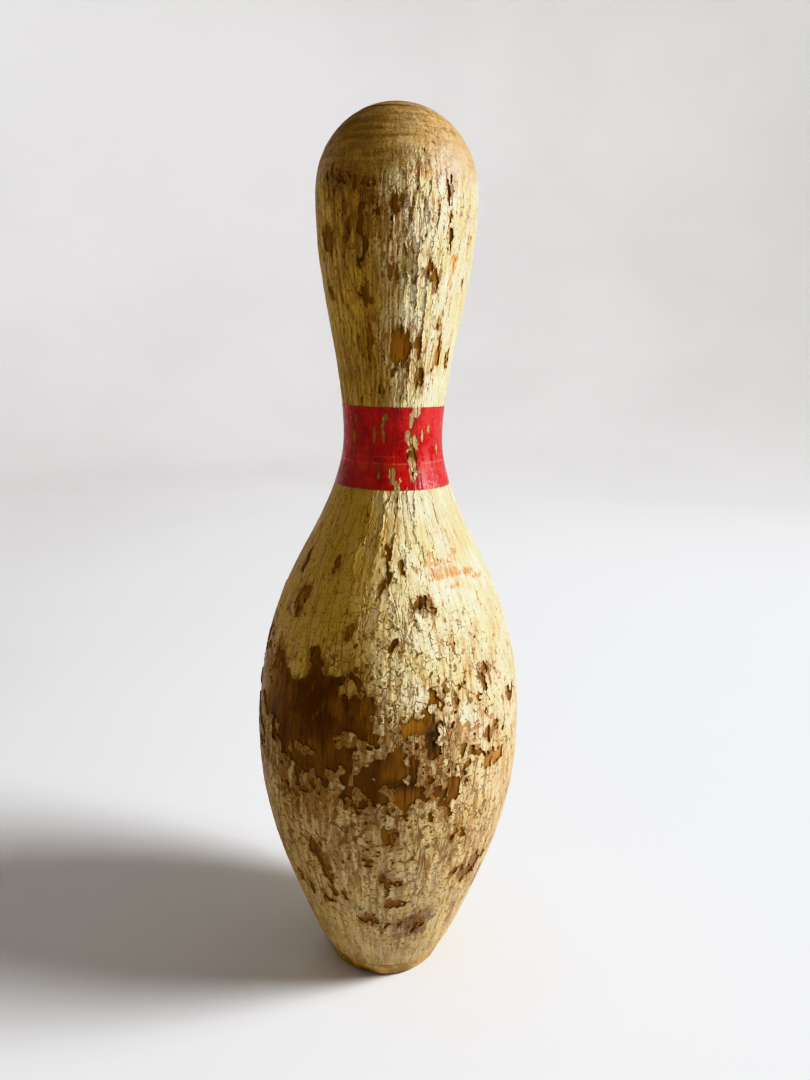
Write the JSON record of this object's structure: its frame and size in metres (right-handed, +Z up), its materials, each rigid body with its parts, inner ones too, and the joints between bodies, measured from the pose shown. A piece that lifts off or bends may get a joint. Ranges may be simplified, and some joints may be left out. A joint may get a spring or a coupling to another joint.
{
  "type": "bowling pin",
  "caption": "Regulation-height tenpin: turned laminated maple with a domed head, banded neck, wide belly, thick cream coat and a ringed flat foot.",
  "frame": {"origin": "centre of the foot, where the pin's axis meets the lane", "axes": "+Z up along the pin's axis to the crown; -Y is the front, with the seams of the core boards running front to back"},
  "size_m": [0.1194, 0.1194, 0.381],
  "materials": {
    "maple": "dark aged maple under old clear lacquer, satin",
    "cream_coat": "yellowed cream coat, semi-gloss, cracked and flaking",
    "neck_band": "deep red, glossy, chipped",
    "base_ring": "moulded fibre, tan, scuffed"
  },
  "bodies": {
    "root": {"core_board_left": "maple", "core_board_centre": "maple", "core_board_right": "maple", "side_cheek_left": "maple", "side_cheek_right": "maple", "front_cheek_left": "maple", "front_cheek_centre": "maple", "front_cheek_right": "maple", "back_cheek_left": "maple", "back_cheek_centre": "maple", "back_cheek_right": "maple", "base_ring": "base_ring", "cream_coat": "cream_coat", "neck_band": "neck_band"}
  },
  "joints": []
}
